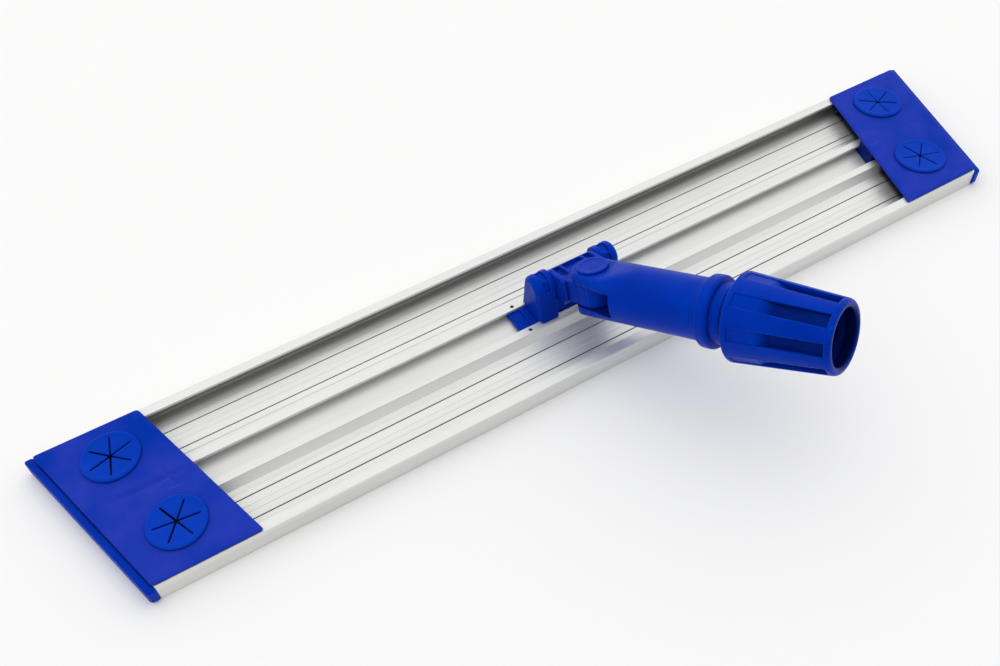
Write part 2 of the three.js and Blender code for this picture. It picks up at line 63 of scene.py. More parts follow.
def frame_of(origin, x_axis, z_axis):
    """The matrix that takes millimetres in a local frame to metres in the CAD's frame."""
    x, z = Vector(x_axis).normalized(), Vector(z_axis).normalized()
    turn = Matrix((x, z.cross(x), z)).transposed()
    return Matrix.Translation(Vector(origin)) @ turn.to_4x4() @ Matrix.Scale(MM, 4)


BASE = Matrix.Scale(MM, 4)
swing_axis = Vector(JOINTS["swing"]["axis"])
handle_axis = Vector(JOINTS["clamp_slide"]["axis"])
# Local -Y runs along the arm, then along the handle; local Z is the swing axis in both.
ARM = frame_of(JOINTS["tilt"]["pos_m"], JOINTS["tilt"]["axis"], swing_axis)
SOCKET = frame_of(JOINTS["swing"]["pos_m"], swing_axis.cross(handle_axis), swing_axis)

HANDLE_LINE = (Vector(JOINTS["swing"]["pos_m"]), handle_axis.normalized())

# ---- dimensions, in millimetres ---------------------------------------------------------------

profile_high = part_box("frame_extrusion")[1]
HALF_WIDTH = profile_high.y / MM
RIM_TOP = profile_high.z / MM
SLANT = 0.294  # the ends' shift in X per millimetre of Y
HALF_LENGTH = profile_high.x / MM - SLANT * HALF_WIDTH
RIM_WALL = 1.6
RIM_LIP, RIM_LIP_IN = 1.8, 46.3
FLOOR_TOP = 2.0
RAISED_TOP = 2.6
RAIL_TOP = 7.6
RAIL_LIP, RAIL_LIP_IN = 1.8, 7.75
RAIL_FLAT, RAIL_FOOT = 12.75, 15.6
CHANNEL_HALF = 11.3
DEEP_GROOVES, FAINT_GROOVES = (23.3, 37.1), (28.6, 32.4)
TAPE_IN, TAPE_OUT, TAPE_DEPTH = 20.5, 40.5, 1.3
PUNCH_X, PUNCH_Y = 34.0, 10.2
PLATE_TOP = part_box("grip_plate_left")[1].z / MM
PLATE_BOTTOM = RIM_TOP + 0.3
DISC_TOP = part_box("star_grip_left_back")[1].z / MM
DISC_R = 15.7
TILT_HEIGHT = JOINTS["tilt"]["pos_m"][2] / MM
TILT_PIN_R, SWING_PIN_R = 3.0, 5.0
ARM_LENGTH = 26.0
SLOT_HALF, SLOT_DEPTH = 7.0, 18.0
NUT_START, NUT_END = 85.0, 139.5
NUT_BIG_R, NUT_SMALL_R = 23.2, 18.4
THREAD_R, THREAD_PITCH = 15.2, 3.0
HANDLE_R = 12.7
COLLET_START, COLLET_LENGTH, COLLET_R = 106.0, 25.0, 14.3
ROOT_HALF = math.sqrt(0.5)  # scales the field of a 45 degree bevel to true distance

# ---- distance fields: every argument is an array or a number, in millimetres ------------------


def length(*parts):
    return np.sqrt(sum(part * part for part in parts))


def join(a, b, r=0.0):
    """Union, with a fillet of radius r where the two meet."""
    if r <= 0:
        return np.minimum(a, b)
    return np.maximum(r, np.minimum(a, b)) - length(np.maximum(r - a, 0), np.maximum(r - b, 0))


def meet(a, b, r=0.0):
    """Intersection, its edge rounded to radius r."""
    if r <= 0:
        return np.maximum(a, b)
    return np.minimum(-r, np.maximum(a, b)) + length(np.maximum(r + a, 0), np.maximum(r + b, 0))


def cut(a, b, r=0.0):
    """What is left of a without b, the new edge rounded to radius r."""
    return meet(a, -b, r)


def span(value, low, high):
    """Negative between low and high."""
    return np.abs(value - (low + high) / 2) - (high - low) / 2


def box(p, low, high, r=0.0):
    """A block between two corners, its edges rounded to r."""
    q = [span(c, a + r, b - r) for c, a, b in zip(p, low, high)]
    inside = np.minimum(np.maximum(np.maximum(q[0], q[1]), q[2]), 0)
    return length(*[np.maximum(c, 0) for c in q]) + inside - r


def drum(radial, along, radius, low, high, r=0.0):
    """A round bar, its two end edges rounded to r."""
    a, b = radial - (radius - r), span(along, low + r, high - r)
    outside = length(np.maximum(a, 0), np.maximum(b, 0))
    return outside + np.minimum(np.maximum(a, b), 0) - r


def smooth_step(value, low, high):
    t = np.clip((value - low) / (high - low), 0, 1)
    return t * t * (3 - 2 * t)


def mound(value, middle, half, power=2):
    """A soft ridge of height 1 at middle."""
    return np.exp(-((value - middle) / half) ** power)


def polygon(u, v, points):
    """Signed distance to a closed outline."""
    best = np.full(np.broadcast(u, v).shape, 1e9, np.float32)
    sign = np.ones_like(best)
    for (ax, ay), (bx, by) in zip(points, points[1:] + points[:1]):
        ex, ey = bx - ax, by - ay
        wx, wy = u - ax, v - ay
        t = np.clip((wx * ex + wy * ey) / (ex * ex + ey * ey), 0, 1)
        best = np.minimum(best, (wx - ex * t) ** 2 + (wy - ey * t) ** 2)
        above, below, left = v >= ay, v < by, ex * wy > ey * wx
        flip = (above & below & left) | (~above & ~below & ~left)
        sign = np.where(flip, -sign, sign)
    return sign * np.sqrt(best)


# ---- meshes -----------------------------------------------------------------------------------


def piece(name, mesh, material, body, nodes, sharp_deg=None):
    """Puts a mesh in the scene with its material, shades it, ties it to its CAD body and hides its CAD
    nodes.
    """
    made = bpy.data.objects.new(name, mesh)
    bpy.context.scene.collection.objects.link(made)
    mesh.materials.clear()
    mesh.materials.append(material)
    mesh.polygons.foreach_set("use_smooth", [True] * len(mesh.polygons))
    if sharp_deg is not None:
        mesh.set_sharp_from_angle(angle=math.radians(sharp_deg))
    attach(made, body)
    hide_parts(*nodes)
    return made


def mesh_from(name, vertices, faces, matrix=BASE):
    mesh = bpy.data.meshes.new(name)
    mesh.from_pydata([tuple(v) for v in vertices], [], [tuple(f) for f in faces])
    mesh.transform(matrix)
    mesh.validate()
    mesh.update()
    return mesh


def welded(mesh, merge=0.001 * MM):
    """The mesh with its doubles merged and every face turned outwards."""
    bm = bmesh.new()
    bm.from_mesh(mesh)
    bmesh.ops.remove_doubles(bm, verts=bm.verts, dist=merge)
    bmesh.ops.dissolve_degenerate(bm, edges=bm.edges, dist=merge)
    bmesh.ops.recalc_face_normals(bm, faces=bm.faces)
    bm.to_mesh(mesh)
    bm.free()
    mesh.update()
    return mesh


def moulded(name, field, low, high, pitch, matrix):
    """A mesh of the surface where the field is zero, each vertex then moved onto it exactly."""
    pitch = pitch * COARSE
    start = [a - 1.5 * pitch for a in low]
    counts = [int(math.ceil((b - a) / pitch)) + 4 for a, b in zip(low, high)]
    axes = [(a + pitch * np.arange(n)).astype(np.float32) for a, n in zip(start, counts)]
    values = field(np.meshgrid(*axes, indexing="ij"))
    volume = openvdb.FloatGrid(float(4 * pitch))
    volume.copyFromArray(np.clip(values, -4 * pitch, 4 * pitch).astype(np.float32))
    points, quads = volume.convertToQuads(0.0)
    points = points.astype(np.float64) * pitch + np.array(start)
    step, longest = 0.2 * pitch, 0.45 * pitch
    for _ in range(3):
        here = field(list(points.T))
        slopes = []
        for axis in range(3):
            shift = np.zeros(3)
            shift[axis] = step
            ahead, behind = field(list((points + shift).T)), field(list((points - shift).T))
            slopes.append((ahead - behind) / (2 * step))
        slope = np.stack(slopes, 1)
        move = slope * (here / np.maximum((slope**2).sum(1), 0.25))[:, None]
        size = np.linalg.norm(move, axis=1, keepdims=True)
        points -= move * np.minimum(1, longest / np.maximum(size, 1e-9))
    mesh = mesh_from(name, points, quads, matrix)
    bm = bmesh.new()
    bm.from_mesh(mesh)
    if bm.calc_volume(signed=True) < 0:
        bmesh.ops.reverse_faces(bm, faces=bm.faces)
    bm.to_mesh(mesh)
    bm.free()
    return mesh


def swept(name, outline, stations, matrix=BASE):
    """Runs an outline of (Y, Z) points through stations, each a function of Y that gives X."""
    vertices = [(station(y), y, z) for station in stations for y, z in outline]
    n, faces = len(outline), []
    for k in range(len(stations) - 1):
        for i in range(n):
            j = (i + 1) % n
            faces.append((k * n + i, k * n + j, (k + 1) * n + j, (k + 1) * n + i))
    last = (len(stations) - 1) * n
    faces += [tuple(reversed(range(n))), tuple(range(last, last + n))]
    return welded(mesh_from(name, vertices, faces, matrix))


def rounded(points, radii, steps=4):
    """An outline whose corners are arcs; radii holds one number per corner, 0 for a sharp one."""
    made = []
    for i, corner in enumerate(points):
        r = radii[i]
        here = Vector(corner)
        before, after = Vector(points[i - 1]) - here, Vector(points[(i + 1) % len(points)]) - here
        if r <= 0:
            made.append(tuple(here))
            continue
        half = before.angle(after) / 2
        reach = min(r / math.tan(half), 0.49 * before.length, 0.49 * after.length)
        a, b = here + before.normalized() * reach, here + after.normalized() * reach
        for s in range(steps + 1):
            t = s / steps
            made.append(tuple((1 - t) ** 2 * a + 2 * t * (1 - t) * here + t * t * b))
    return made


# ---- materials --------------------------------------------------------------------------------


class Look:
    """A node material: a Principled shader and helpers that add the nodes behind its sockets."""

    def __init__(self, name):
        self.material = bpy.data.materials.new(name)
        self.material.use_nodes = True
        self.tree = self.material.node_tree
        self.shader = self.tree.nodes["Principled BSDF"]
        self.place = self.add("ShaderNodeTexCoord").outputs["Object"]

    def add(self, kind, **settings):
        made = self.tree.nodes.new(kind)
        for key, value in settings.items():
            setattr(made, key, value)
        return made

    def link(self, output, target):
        self.tree.links.new(output, target)

    def set(self, **values):
        for key, value in values.items():
            self.shader.inputs[key.replace("_", " ")].default_value = value

    def noise(self, scale, detail=3.0, stretch=(1, 1, 1), roughness=0.5):
        mapping = self.add("ShaderNodeMapping")
        mapping.inputs["Scale"].default_value = stretch
        self.link(self.place, mapping.inputs["Vector"])
        made = self.add("ShaderNodeTexNoise")
        made.inputs["Scale"].default_value = scale
        made.inputs["Detail"].default_value = detail
        made.inputs["Roughness"].default_value = roughness
        self.link(mapping.outputs["Vector"], made.inputs["Vector"])
        return made.outputs["Fac"]

    def ramp(self, value, low, high, to_low, to_high):
        made = self.add("ShaderNodeMapRange")
        names = ("From Min", "From Max", "To Min", "To Max")
        for key, number in zip(names, (low, high, to_low, to_high)):
            made.inputs[key].default_value = number
        self.link(value, made.inputs["Value"])
        return made.outputs["Result"]

    def mix(self, share, first, second):
        made = self.add("ShaderNodeMix", data_type="RGBA")
        for socket, colour in ((made.inputs[6], first), (made.inputs[7], second)):
            if isinstance(colour, tuple):
                socket.default_value = (*colour, 1)
            else:
                self.link(colour, socket)
        self.link(share, made.inputs[0])
        return made.outputs[2]

    def product(self, first, second):
        made = self.add("ShaderNodeMath", operation="MULTIPLY")
        self.link(first, made.inputs[0])
        self.link(second, made.inputs[1])
        return made.outputs[0]

    def distance(self, origin, axis, across):
        """Distance from a line (across) or signed distance along it, in metres."""
        offset = self.add("ShaderNodeVectorMath", operation="SUBTRACT")
        self.link(self.place, offset.inputs[0])
        offset.inputs[1].default_value = origin
        made = self.add("ShaderNodeVectorMath", operation="CROSS_PRODUCT" if across else "DOT_PRODUCT")
        self.link(offset.outputs[0], made.inputs[0])
        made.inputs[1].default_value = axis
        if not across:
            return made.outputs["Value"]
        size = self.add("ShaderNodeVectorMath", operation="LENGTH")
        self.link(made.outputs[0], size.inputs[0])
        return size.outputs["Value"]

    def band(self, value, start, full, fade, end, strength=1.0):
        """strength from full to fade and nothing outside start to end, all in millimetres."""
        rise = self.ramp(value, start * MM, full * MM, 0, strength)
        return self.product(rise, self.ramp(value, fade * MM, end * MM, 1, 0))

    def coordinates(self):
        made = self.add("ShaderNodeSeparateXYZ")
        self.link(self.place, made.inputs[0])
        return made.outputs

    def colour(self, output):
        self.link(output, self.shader.inputs["Base Color"])

    def roughness(self, output):
        self.link(output, self.shader.inputs["Roughness"])

    def bump(self, heights):
        """heights: (value socket, height in metres) pairs, one bump node after another."""
        normal = None
        for value, height in heights:
            made = self.add("ShaderNodeBump")
            made.inputs["Strength"].default_value = 1.0
            made.inputs["Distance"].default_value = height
            self.link(value, made.inputs["Height"])
            if normal is not None:
                self.link(normal, made.inputs["Normal"])
            normal = made.outputs["Normal"]
        self.link(normal, self.shader.inputs["Normal"])


def aluminium():
    look = Look("anodised_aluminium")
    look.set(Metallic=0.62, IOR=1.5)
    lines = look.noise(260, 5, (0.012, 1, 1), 0.65)
    cloud = look.noise(14, 3, (0.5, 1, 1))
    grain = look.noise(5200, 2)
    tone = look.mix(look.ramp(lines, 0.3, 0.7, 0, 1), (0.66, 0.67, 0.655), (0.77, 0.77, 0.75))
    tone = look.mix(look.ramp(cloud, 0.3, 0.7, 0, 0.5), tone, (0.80, 0.80, 0.785))
    where = look.coordinates()
    across = look.add("ShaderNodeMath", operation="ABSOLUTE")
    look.link(where["Y"], across.inputs[0])
    across = across.outputs[0]
    # Painted shade darkens the corner under each rim lip.
    corner = look.band(across, 43.0, 47.2, 51.1, 51.5)
    corner = look.product(corner, look.ramp(where["Z"], 6.0 * MM, 9.5 * MM, 0.7, 0))
    tone = look.mix(corner, tone, (0.16, 0.16, 0.15))
    # Painted light makes the front rail's slope paler.
    slope = look.band(where["Y"], 0.1 - RAIL_FOOT, 0.3 - RAIL_FOOT,
                      -0.35 - RAIL_FLAT, -0.15 - RAIL_FLAT)
    tone = look.mix(slope, tone, (0.97, 0.97, 0.95))
    # Painted shade darkens the two deep grooves of each trough.
    for y in DEEP_GROOVES:
        groove = look.product(look.band(across, y - 0.7, y - 0.6, y + 0.6, y + 0.7),
                              look.band(where["Z"], 1.2, 1.6, 2.25, 2.5, 0.8))
        tone = look.mix(groove, tone, (0.06, 0.06, 0.055))
    # Painted shade darkens the trough below each grip plate.
    trough = look.product(look.ramp(across, 45.5 * MM, 46.0 * MM, 1, 0),
                          look.band(where["Z"], 1.2, 1.6, 6.5, 7.0))
    for side in (1, -1):
        end = look.distance((0, 0, 0), (side, -SLANT, 0), False)
        covered = look.ramp(end, (HALF_LENGTH - 53) * MM, (HALF_LENGTH - 50) * MM, 0, 0.9)
        tone = look.mix(look.product(trough, covered), tone, (0.02, 0.02, 0.022))
    # The tone is darker inside the punch marks.
    mirrored = look.add("ShaderNodeVectorMath", operation="ABSOLUTE")
    look.link(look.place, mirrored.inputs[0])
    reach = look.add("ShaderNodeVectorMath", operation="DISTANCE")
    reach.inputs[1].default_value = (PUNCH_X * MM, PUNCH_Y * MM, (RAIL_TOP - 1.0) * MM)
    look.link(mirrored.outputs[0], reach.inputs[0])
    punched = look.ramp(reach.outputs["Value"], 1.2 * MM, 1.4 * MM, 0.85, 0)
    look.colour(look.mix(punched, tone, (0.03, 0.02, 0.015)))
    look.roughness(look.ramp(lines, 0.25, 0.75, 0.36, 0.52))
    look.bump([(lines, 0.020 * MM), (grain, 0.004 * MM)])
    return look.material


def plastic(name, deep, bright, roughness, grain_depth=0.006, edge=0.25, scuffs=0.25,
            shade=None, gloss=0.1, hollow=None):
    """Moulded plastic: a cloudy tone, a fine moulding grain, a painted highlight on edges, painted
    shade in corners and creases, and faint scuffs.

    shade: (low, high) heights in millimetres; the tone darkens from high down to low.
    hollow: a function that takes the Look and returns how much painted shade a point gets inside a
    hollow, 0 to 1.
    """
    look = Look(name)
    look.set(IOR=1.46, Specular_IOR_Level=gloss, Specular_Tint=(0.08, 0.34, 1.0, 1.0))
    cloud = look.noise(38, 4)
    flow = look.noise(90, 3, (1, 0.25, 1))
    grain = look.noise(3600, 3)
    tone = look.mix(look.ramp(cloud, 0.3, 0.7, 0, 1), deep, bright)
    # Pointiness is 0.5 on a flat face, more on an edge and less in a corner; edges get a painted
    # highlight, corners and creases painted shade.
    edge_light_crease_shade = look.add("ShaderNodeNewGeometry").outputs["Pointiness"]
    pale = tuple(0.6 * c + 0.4 * w for c, w in zip(bright, (0.0, 0.24, 0.90)))
    tone = look.mix(look.ramp(edge_light_crease_shade, 0.52, 0.62, 0, edge), tone, pale)
    tone = look.mix(look.ramp(edge_light_crease_shade, 0.488, 0.43, 0, 0.9), tone, (0.0, 0.003, 0.06))
    scratch = look.noise(420, 2, (0.12, 1, 0.6), 0.4)
    tone = look.mix(look.ramp(scratch, 0.70, 0.80, 0, scuffs), tone, pale)
    if shade:
        low, high = shade
        covered = look.ramp(look.coordinates()["Z"], low * MM, high * MM, 0.85, 0)
        tone = look.mix(covered, tone, (0.0, 0.006, 0.09))
    # Painted shade inside hollows.
    if hollow:
        tone = look.mix(hollow(look), tone, (0.0, 0.002, 0.035))
    look.colour(tone)
    look.roughness(look.ramp(flow, 0.3, 0.7, roughness - 0.05, roughness + 0.07))
    look.bump([(flow, 0.030 * MM), (grain, grain_depth * MM)])
    return look.material


def steel():
    look = Look("steel_rod")
    look.set(Metallic=1.0)
    lines = look.noise(900, 3, (1, 0.05, 0.05))
    look.colour(look.mix(lines, (0.42, 0.43, 0.45), (0.62, 0.63, 0.64)))
    look.roughness(look.ramp(lines, 0.3, 0.7, 0.24, 0.38))
    return look.material


def hook_tape():
    look = Look("hook_tape")
    look.set(Roughness=0.72, Sheen_Weight=0.3)
    fuzz = look.noise(700, 4)
    look.colour(look.mix(fuzz, (0.010, 0.011, 0.013), (0.040, 0.042, 0.046)))
    look.bump([(fuzz, 0.040 * MM)])
    return look.material


def nut_hollow_shade(look):
    """Painted shade in the nut's bore and in the deep end of the grooves between its panels."""
    across = look.distance(*HANDLE_LINE, True)
    # Radius plus fall times travel is the same all along the nut's tapered outside.
    fall = (NUT_BIG_R - NUT_SMALL_R) / (NUT_END - NUT_START)
    cone = look.add("ShaderNodeMath", operation="MULTIPLY_ADD")
    look.link(look.distance(*HANDLE_LINE, False), cone.inputs[0])
    cone.inputs[1].default_value = fall
    look.link(across, cone.inputs[2])
    outside = NUT_BIG_R + fall * NUT_START
    groove = look.ramp(cone.outputs[0], (outside - 3.2) * MM, (outside - 1.2) * MM, 0.6, 0)
    either = look.add("ShaderNodeMath", operation="MAXIMUM")
    look.link(look.ramp(across, 14.5 * MM, 15.2 * MM, 0.93, 0), either.inputs[0])
    look.link(groove, either.inputs[1])
    return either.outputs[0]


def fork_slot_shade(look):
    """Painted shade on the faces of the slot that takes the tongue."""
    height = look.add("ShaderNodeMath", operation="ABSOLUTE")
    look.link(look.distance(HANDLE_LINE[0], swing_axis.normalized(), False), height.inputs[0])
    between = look.ramp(height.outputs[0], (SLOT_HALF + 0.1) * MM, (SLOT_HALF + 0.35) * MM, 0.6, 0)
    travel = look.distance(*HANDLE_LINE, False)
    along = look.ramp(travel, (SLOT_DEPTH + 0.3) * MM, (SLOT_DEPTH + 0.8) * MM, 1, 0)
    return look.product(between, along)


ALUMINIUM = aluminium()
DEEP_TONE, BRIGHT_TONE = (0.0, 0.023, 0.35), (0.0, 0.034, 0.44)
BLUE = plastic("moulded_blue", DEEP_TONE, BRIGHT_TONE, 0.34)
NUT_BLUE = plastic("nut_blue", DEEP_TONE, BRIGHT_TONE, 0.34, edge=0.5, hollow=nut_hollow_shade)
SOCKET_BLUE = plastic("socket_blue", DEEP_TONE, BRIGHT_TONE, 0.34, hollow=fork_slot_shade)
DARK_BLUE = plastic("shaded_blue", (0.0, 0.003, 0.07), (0.0, 0.005, 0.11), 0.45, edge=0.1, scuffs=0.0)
PLATE_BLUE = plastic("plate_blue", (0.0, 0.030, 0.38), (0.020, 0.042, 0.44), 0.42, gloss=0.05,
                     shade=(PLATE_TOP - 1.7, PLATE_TOP - 1.15))
SOFT_BLUE = plastic("soft_blue", (0.0, 0.036, 0.42), (0.004, 0.046, 0.49), 0.50, grain_depth=0.009,
                    edge=0.3, scuffs=0.1, gloss=0.07, shade=(DISC_TOP - 1.2, DISC_TOP - 0.5))
STEEL = steel()
HOOK_TAPE = hook_tape()

# ---- aluminium frame ---------------------------------------------------------------------------


def line_groove(y, half, depth):
    """Three sharp corners of a V groove in the trough's raised floor, from its outer side in."""
    return [((y + half, RAISED_TOP), 0), ((y, RAISED_TOP - depth), 0), ((y - half, RAISED_TOP), 0)]


def half_section():
    """((Y, Z), radius) corners of the right half, from the underside round to the channel."""
    wall, lip_under = HALF_WIDTH - RIM_WALL, RIM_TOP - RIM_LIP
    deep, faint = (0.42, 0.85), (0.16, 0.14)
    return [
        ((TAPE_IN, 0), 0.2), ((TAPE_IN, TAPE_DEPTH), 0),
        ((TAPE_OUT, TAPE_DEPTH), 0), ((TAPE_OUT, 0), 0.2),
        ((HALF_WIDTH, 0), 0.5), ((HALF_WIDTH, RIM_TOP), 0.9),
        ((RIM_LIP_IN, RIM_TOP), 0.5), ((RIM_LIP_IN, lip_under), 0.5),
        ((wall, lip_under), 0.8), ((wall, FLOOR_TOP), 1.2),
        ((42.5, FLOOR_TOP), 0.3), ((41.9, RAISED_TOP), 0.3),
        *line_groove(DEEP_GROOVES[1], *deep), *line_groove(FAINT_GROOVES[1], *faint),
        *line_groove(FAINT_GROOVES[0], *faint), *line_groove(DEEP_GROOVES[0], *deep),
        ((19.4, RAISED_TOP), 0.3), ((18.8, FLOOR_TOP), 0.3),
        ((RAIL_FOOT, FLOOR_TOP), 0.6), ((RAIL_FLAT, RAIL_TOP), 0.5),
        ((RAIL_LIP_IN, RAIL_TOP), 0.4), ((RAIL_LIP_IN, RAIL_TOP - RAIL_LIP), 0.2),
        ((CHANNEL_HALF, RAIL_TOP - RAIL_LIP), 0.3), ((CHANNEL_HALF, 1.9), 0.4),
    ]


def punch_tool():
    """Four tapered punches, as a scratch object in metres."""
    marks = bmesh.new()
    for x in (-PUNCH_X, PUNCH_X):
        for y in (-PUNCH_Y, PUNCH_Y):
            bmesh.ops.create_cone(marks, cap_ends=True, segments=20, radius1=0.9, radius2=1.35,
                                  depth=2.4, matrix=Matrix.Translation((x, y, RAIL_TOP)))
    mesh = bpy.data.meshes.new("punch_tool")
    marks.to_mesh(mesh)
    marks.free()
    mesh.transform(BASE)
    tool = bpy.data.objects.new("punch_tool", mesh)
    bpy.context.scene.collection.objects.link(tool)
    return tool


def frame_profile():
    right = half_section()
    left = [((-y, z), r) for (y, z), r in reversed(right)]
    points, radii = zip(*(right + left))
    parts, sharp_deg = 24, 24
    stations = [
        (lambda y, t=2 * k / parts - 1: t * (HALF_LENGTH + SLANT * y)) for k in range(parts + 1)
    ]
    mesh = swept("frame_profile", rounded(points, radii), stations)
    made = piece("frame_profile", mesh, ALUMINIUM, "frame", ["frame_extrusion"], sharp_deg)
    tool = punch_tool()
    boolean = made.modifiers.new("punch", "BOOLEAN")
    boolean.operation, boolean.solver, boolean.object = "DIFFERENCE", "EXACT", tool
    graph = bpy.context.evaluated_depsgraph_get()
    carved = bpy.data.meshes.new_from_object(made.evaluated_get(graph))
    made.modifiers.clear()
    made.data = carved
    bpy.data.objects.remove(tool)
    carved.set_sharp_from_angle(angle=math.radians(sharp_deg))


frame_profile()


def add_hook(bm, x, y, lean):
    """One bent square hook, its tip pointing down and shifted by lean."""
    square = [(-1, -1), (1, -1), (1, 1), (-1, 1)]
    rings = []
    for z, shift, half in ((0.62, 0.0, 0.30), (0.22, 0.15, 0.22), (0.03, 0.75, 0.17)):
        centre = x + lean * shift
        rings.append([bm.verts.new(Vector((centre + half * a, y + half * b, z)) * MM)
                      for a, b in square])
    for lower, upper in zip(rings, rings[1:]):
        for a in range(4):
            b = (a + 1) % 4
            bm.faces.new((lower[b], lower[a], upper[a], upper[b]))
    bm.faces.new(rings[0][::-1])
    bm.faces.new(rings[-1])


def hook_strip(name, node, low_y, high_y):
    """A backing tape with rows of small bent hooks that point down."""
    low_z, high_z, corner = 0.55, 1.0, 0.12
    rows, spacing, lean = 11, 3.3, 0.55
    tape_end, hooks_end = HALF_LENGTH - 5, HALF_LENGTH - 7
    block = [(low_y, low_z), (high_y, low_z), (high_y, high_z), (low_y, high_z)]
    outline = rounded(block, [corner] * 4, 2)
    mesh = swept(name, outline, [lambda y: -(tape_end + SLANT * y), lambda y: tape_end + SLANT * y])
    bm = bmesh.new()
    bm.from_mesh(mesh)
    for row in range(rows):
        y = low_y + (row + 0.5) * (high_y - low_y) / rows
        reach = hooks_end + SLANT * y
        for k in range(int(2 * reach / spacing)):
            x = -reach + (k + 0.5 * (row % 2) + 0.25) * spacing
            add_hook(bm, x, y, lean if (row + k) % 2 else -lean)
    bmesh.ops.recalc_face_normals(bm, faces=bm.faces)
    bm.to_mesh(mesh)
    bm.free()
    piece(name, mesh, HOOK_TAPE, "frame", [node], 40)


for node in ("hook_strip_back", "hook_strip_front"):
    low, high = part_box(node)
    hook_strip(node.replace("strip", "tape"), node, low.y / MM, high.y / MM)

# ---- plastic ends -------------------------------------------------------------------------------


def end_bar(side):
    """The bar across one slanted end, with the plugs that hold it in the profile."""
    label = "right" if side > 0 else "left"
    start = HALF_LENGTH + 0.05
    thick, top, half = 5.25, 10.8, 53.5

    def field(p):
        x, y, z = side * p[0] - SLANT * p[1], p[1], p[2]
        bar = box((x, y, z), (start, -half, 0.4), (start + thick, half, top), 1.7)
        # A shallow step along the outer face, and a raised rib at each end.
        face = box((x, y, z), (start + thick - 0.25, -half + 3, 2.2),
                   (start + thick + 3, half - 3, top - 2.4), 0.5)
        bar = cut(bar, face, 0.25)
        plug = box((x, np.abs(y), z), (start - 16, 44.6, 2.3), (start + 1, 50.6, 9.5), 0.5)
        key = box((x, y, z), (start - 12, -11, 2.2), (start + 1, 11, 5.5), 0.4)
        return join(bar, join(plug, key), 0.3)

    low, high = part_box(f"end_cap_{label}")
    mesh = moulded(f"end_bar_{label}", field, low / MM, high / MM, 0.42, BASE)
    piece(f"end_bar_{label}", mesh, BLUE, "frame", [f"end_cap_{label}"])


def grip_plate(side):
    """One end plate, with hooked rails under the rim lips and a tongue in the channel."""
    label = "right" if side > 0 else "left"
    outer, half = HALF_LENGTH + 1.2, 52.3
    inner = HALF_LENGTH - 56.4
    rail_start, rail_end, rail_in = inner + 2, inner + 36, RIM_LIP_IN - 2.7
    rail_top = RIM_TOP - 2.1
    tongue_start, tongue_end = inner + 0.5, inner + 40.5
    holes, hole_r = [(263.0, 28.6), (246.4, -26.0)], 13.3
    # Where the moulding has sunk over the rails below: strong on the left plate only.
    sink = 0.75 if side < 0 else 0.08

    def field(p):
        ax, y, z = side * p[0], p[1], p[2]
        x = ax - SLANT * y
        flat = box((x, y, 0 * z), (inner, -half, -1), (outer, half, 1), 2.4)
        along = mound(y, 2.0, 1.5) * smooth_step(x, inner + 2, inner + 12)
        along = along * (1 - smooth_step(x, outer - 22, outer - 10))
        across = mound(x, inner + 14.0, 1.4) * mound(y, 2, 8.0, 4)
        ridge = mound(y, 5.6, 2.2) * smooth_step(x, inner + 2, inner + 12)
        dip = sink * np.maximum(along, across) - 0.35 * sink * ridge
        bow = 0.10 * np.cos(np.clip(y / half, -1, 1) * math.pi) * (x > 0)
        top = z - (PLATE_TOP - dip - 0.10 + bow)
        plate = meet(meet(flat, top, 1.3), PLATE_BOTTOM - z, 0.5)
        folded = (x, np.abs(y), z)
        stem = box(folded, (rail_start, rail_in, rail_top - 2),
                   (rail_end, RIM_LIP_IN - 0.3, PLATE_BOTTOM + 0.6), 0.3)
        toe = box(folded, (rail_start, rail_in, rail_top - 2),
                  (rail_end, RIM_LIP_IN + 3.2, rail_top), 0.4)
        neck = box((x, y, z), (tongue_start, -7.45, 4), (tongue_end, 7.45, PLATE_BOTTOM + 0.6), 0.3)
        key = box((x, y, z), (tongue_start, -11, 2.2), (tongue_end, 11, RAIL_TOP - 2.1), 0.4)
        whole = join(plate, join(join(stem, toe), join(neck, key)), 0.4)
        for hole_x, hole_y in holes:
            whole = cut(whole, drum(length(ax - hole_x, y - hole_y), z, hole_r, 0, 30), 0.3)
        return whole

    low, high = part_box(f"grip_plate_{label}")
    mesh = moulded(f"plate_{label}", field, low / MM, high / MM, 0.45, BASE)
    piece(f"plate_{label}", mesh, PLATE_BLUE, "frame", [f"grip_plate_{label}"])


